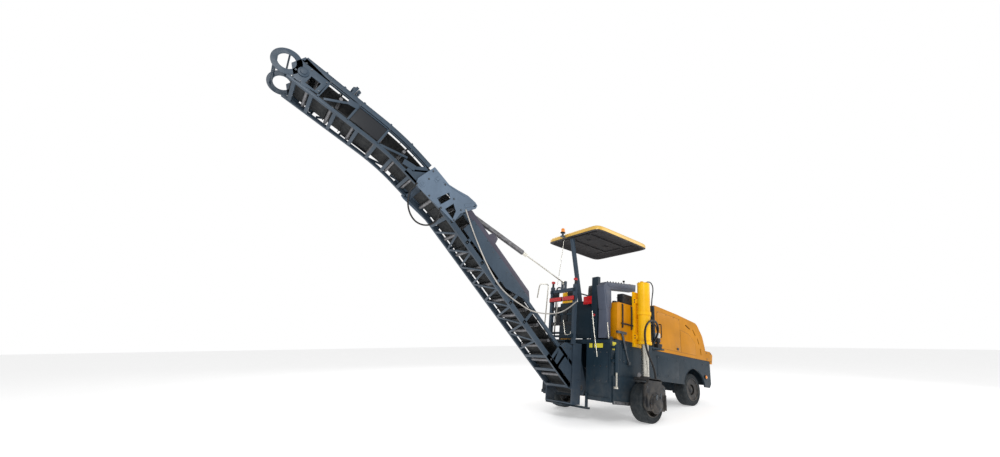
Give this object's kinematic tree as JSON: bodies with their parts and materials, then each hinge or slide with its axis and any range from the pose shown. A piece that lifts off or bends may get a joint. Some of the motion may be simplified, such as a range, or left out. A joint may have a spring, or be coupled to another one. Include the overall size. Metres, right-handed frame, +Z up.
{
  "type": "cold planer milling machine",
  "caption": "Yellow and slate-grey wheeled cold planer with a milling drum, platform canopy and a long raised rear conveyor.",
  "frame": {"origin": "on the ground, below the middle of the outline", "axes": "+X forwards, away from the conveyor; +Y to the machine's left; +Z up"},
  "size_m": [8.9215, 2.41, 5.0335],
  "materials": {
    "yellow": "gloss",
    "slate": "satin",
    "dark": "satin",
    "belt": "matte",
    "steel": "satin",
    "rod": "polished",
    "hose": "satin",
    "cable": "satin",
    "red_lamp": "gloss",
    "amber_lamp": "gloss",
    "seat": "satin",
    "filter": "satin",
    "tyre": "matte",
    "black": "satin"
  },
  "bodies": {
    "chassis": {"drum_housing": "slate", "front_frame": "slate", "front_axle": "slate", "leg_tubes": "yellow", "engine": "steel", "platform": "slate", "tank": "yellow", "console": "slate", "seat": "seat", "steering_stand": "dark", "canopy_post": "slate", "canopy_roof": "yellow", "beacon": "amber_lamp", "handrails": "black", "rear_post": "slate", "lamps": "red_lamp", "filters": "filter", "column_hose": "hose"},
    "drum": {"milling_drum": "steel"},
    "plate_right": {"side_plate_right": "slate"},
    "plate_left": {"side_plate_left": "slate"},
    "hood": {"engine_hood": "yellow", "hood_nose": "yellow"},
    "steer_right": {"knuckle_right": "slate"},
    "steer_left": {"knuckle_left": "slate"},
    "wheel_front_right": {"tyre_front_right": "tyre", "rim_front_right": "dark"},
    "wheel_front_left": {"tyre_front_left": "tyre", "rim_front_left": "dark"},
    "leg_right": {"rear_leg_right": "dark"},
    "leg_left": {"rear_leg_left": "dark"},
    "wheel_rear_right": {"tyre_rear_right": "tyre", "rim_rear_right": "dark"},
    "wheel_rear_left": {"tyre_rear_left": "tyre", "rim_rear_left": "dark"},
    "slew": {"slew_frame": "slate", "mast_lamps": "red_lamp", "pale_cable": "cable"},
    "lower_conveyor": {"conveyor_lower_frame": "slate", "conveyor_lower_belt": "belt", "conveyor_lower_cover": "dark", "fold_gussets": "slate", "tail_pulley": "steel", "fold_hose": "hose"},
    "upper_conveyor": {"conveyor_upper_frame": "slate", "conveyor_upper_belt": "belt", "head_pulley": "steel"},
    "barrel": {"hoist_barrel": "steel"},
    "rod": {"hoist_rod": "rod"}
  },
  "joints": [
    {"name": "drum_turn", "type": "hinge", "parent": "chassis", "child": "drum", "pos_m": [1.60009, -0.2775, 0.67785], "axis": [0, 1, 0], "continuous": true},
    {"name": "plate_right_lift", "type": "slide", "parent": "chassis", "child": "plate_right", "axis": [0.1392, 0, 0.9903], "range_m": [0, 0.18]},
    {"name": "plate_left_lift", "type": "slide", "parent": "chassis", "child": "plate_left", "axis": [0.1392, 0, 0.9903], "range_m": [0, 0.18]},
    {"name": "hood_tilt", "type": "hinge", "parent": "chassis", "child": "hood", "pos_m": [4.37242, 0, 0.78809], "axis": [0, 1, 0], "range_deg": [0, 55]},
    {"name": "steer_right_turn", "type": "hinge", "parent": "chassis", "child": "steer_right", "pos_m": [3.5964, -0.235, 0.3], "axis": [0.1392, 0, 0.9903], "range_deg": [-30, 30]},
    {"name": "steer_left_turn", "type": "hinge", "parent": "chassis", "child": "steer_left", "pos_m": [3.5964, 0.235, 0.3], "axis": [0.1392, 0, 0.9903], "range_deg": [-30, 30]},
    {"name": "wheel_front_right_turn", "type": "hinge", "parent": "steer_right", "child": "wheel_front_right", "pos_m": [3.5964, -0.435, 0.3], "axis": [0, 1, 0], "continuous": true},
    {"name": "wheel_front_left_turn", "type": "hinge", "parent": "steer_left", "child": "wheel_front_left", "pos_m": [3.5964, 0.435, 0.3], "axis": [0, 1, 0], "continuous": true},
    {"name": "leg_right_lift", "type": "slide", "parent": "chassis", "child": "leg_right", "axis": [0.1392, 0, 0.9903], "range_m": [0, 0.42]},
    {"name": "leg_left_lift", "type": "slide", "parent": "chassis", "child": "leg_left", "axis": [0.1392, 0, 0.9903], "range_m": [0, 0.42]},
    {"name": "wheel_rear_right_turn", "type": "hinge", "parent": "leg_right", "child": "wheel_rear_right", "pos_m": [1.4864, -0.965, 0.3], "axis": [0, 1, 0], "continuous": true},
    {"name": "wheel_rear_left_turn", "type": "hinge", "parent": "leg_left", "child": "wheel_rear_left", "pos_m": [1.4864, 0.965, 0.3], "axis": [0, 1, 0], "continuous": true},
    {"name": "slew_turn", "type": "hinge", "parent": "chassis", "child": "slew", "pos_m": [0.73942, 0.15, 0.73318], "axis": [0.1392, 0, 0.9903], "range_deg": [-25, 25]},
    {"name": "lift_tilt", "type": "hinge", "parent": "slew", "child": "lower_conveyor", "pos_m": [0.76954, 0.15, 0.59395], "axis": [0, -1, 0], "range_deg": [0, 30]},
    {"name": "fold_tilt", "type": "hinge", "parent": "lower_conveyor", "child": "upper_conveyor", "pos_m": [-2.22345, 0.15, 3.51382], "axis": [0, -1, 0], "range_deg": [0, 100]},
    {"name": "barrel_swing", "type": "hinge", "parent": "lower_conveyor", "child": "barrel", "pos_m": [-1.31575, 0.15, 3.35215], "axis": [0, -1, 0], "range_deg": [-3, 3]},
    {"name": "rod_stroke", "type": "slide", "parent": "barrel", "child": "rod", "axis": [0.9041, 0, -0.4273], "range_m": [0, 0.898]}
  ],
  "couplings": [
    {"joint": "steer_left_turn", "follows": "steer_right_turn", "ratio": 1},
    {"joint": "barrel_swing", "follows": "lift_tilt", "ratio": 0.05903},
    {"joint": "rod_stroke", "follows": "lift_tilt", "m_per_rad": 1.6956}
  ]
}
